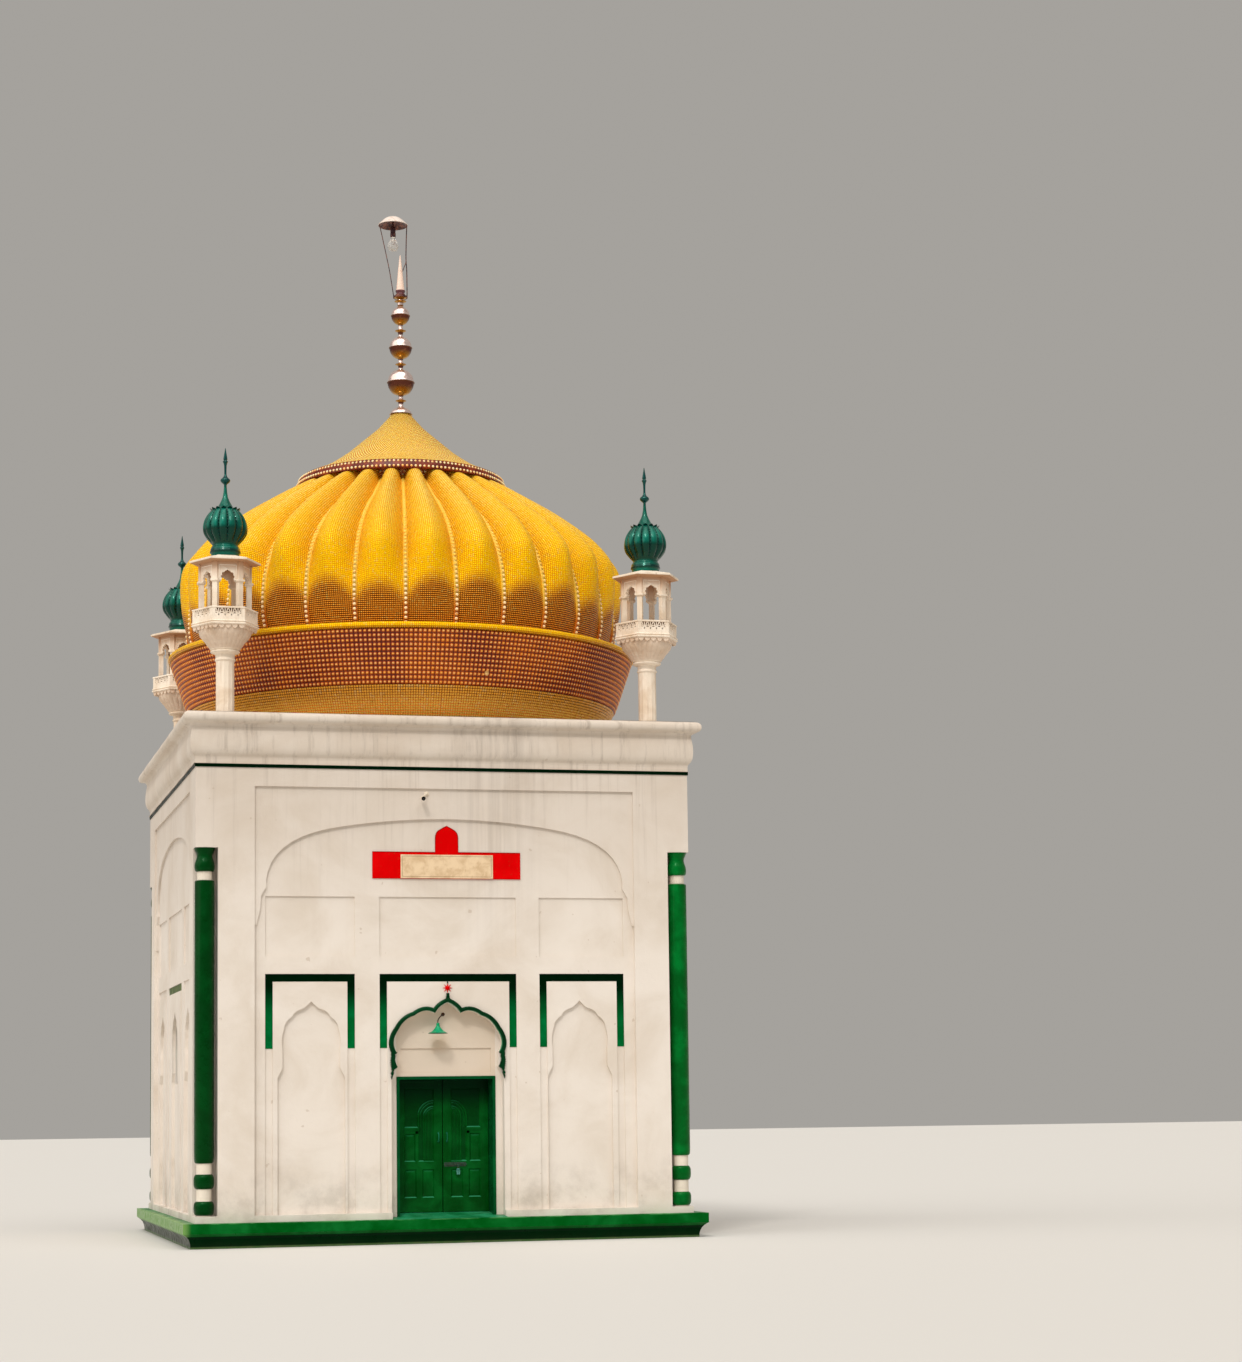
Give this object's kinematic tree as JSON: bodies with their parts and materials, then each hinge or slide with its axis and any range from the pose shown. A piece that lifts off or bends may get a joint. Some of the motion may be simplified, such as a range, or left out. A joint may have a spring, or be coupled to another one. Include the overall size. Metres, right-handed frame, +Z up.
{
  "type": "domed shrine",
  "caption": "Square whitewashed shrine on a green plinth, with a recessed double door, sunk arch panels, corner minarets and a gold gadrooned dome.",
  "frame": {"origin": "centre of the square plan at ground level", "axes": "+Z up, the doorway faces -Y, +X to the right of someone facing the door"},
  "size_m": [7.368, 7.368, 15.668],
  "materials": {
    "green_paint": "glossy green paint on plaster",
    "whitewash": "matt whitewash on plaster",
    "green_plaster": "glossy green paint on plaster",
    "bronze_tile": "small glazed tiles and knobs, bronze brown",
    "gold_tile": "small glazed tiles, gold",
    "finial_metal": "polished metal",
    "lamp_enamel": "white enamel",
    "lamp_glass": "clear glass",
    "cast_stone": "matt cream cast stone",
    "teal_paint": "gloss teal paint",
    "door_paint": "gloss green paint",
    "bolt_steel": "worn steel",
    "red_paint": "red enamel paint",
    "plaque_cream": "blank polished cream slab",
    "camera_white": "matt white",
    "window_glass": "dark glass in a painted frame"
  },
  "bodies": {
    "building": {"plinth": "green_paint", "door_sill": "green_paint", "string_course": "green_paint", "arch_roll": "green_paint", "porch_lamp": "green_paint", "wall_front_left": "whitewash", "wall_front_right": "whitewash", "wall_front_over_door": "whitewash", "wall_back": "whitewash", "wall_left": "whitewash", "wall_right": "whitewash", "cornice": "whitewash", "roof": "whitewash", "column_front_left": "green_plaster", "column_front_right": "green_plaster", "column_back_left": "green_plaster", "column_back_right": "green_plaster", "drum": "bronze_tile", "dome_collar": "bronze_tile", "dome_moulding": "gold_tile", "dome_shell": "gold_tile", "dome_cap": "gold_tile", "finial": "finial_metal", "finial_lamp": "lamp_enamel", "lamp_bulb": "lamp_glass", "minaret_front_left": "cast_stone", "minaret_front_right": "cast_stone", "minaret_back_left": "cast_stone", "minaret_back_right": "cast_stone", "onion_front_left": "teal_paint", "onion_front_right": "teal_paint", "onion_back_left": "teal_paint", "onion_back_right": "teal_paint", "door_frame": "door_paint", "arch_star": "red_paint", "red_panel": "red_paint", "plaque": "plaque_cream", "facade_camera": "camera_white", "window_left": "window_glass", "window_right": "window_glass", "window_back": "window_glass"},
    "left_leaf": {"door_leaf_left": "door_paint", "door_pull_left": "door_paint"},
    "right_leaf": {"door_leaf_right": "door_paint", "door_pull_right": "door_paint", "door_bolt": "bolt_steel"}
  },
  "joints": [
    {"name": "left_leaf_hinge", "type": "hinge", "parent": "building", "child": "left_leaf", "pos_m": [-0.657, -2.948, 1.3], "axis": [0, 0, 1], "range_deg": [0, 90]},
    {"name": "right_leaf_hinge", "type": "hinge", "parent": "building", "child": "right_leaf", "pos_m": [0.657, -2.948, 1.3], "axis": [0, 0, -1], "range_deg": [0, 90]}
  ]
}
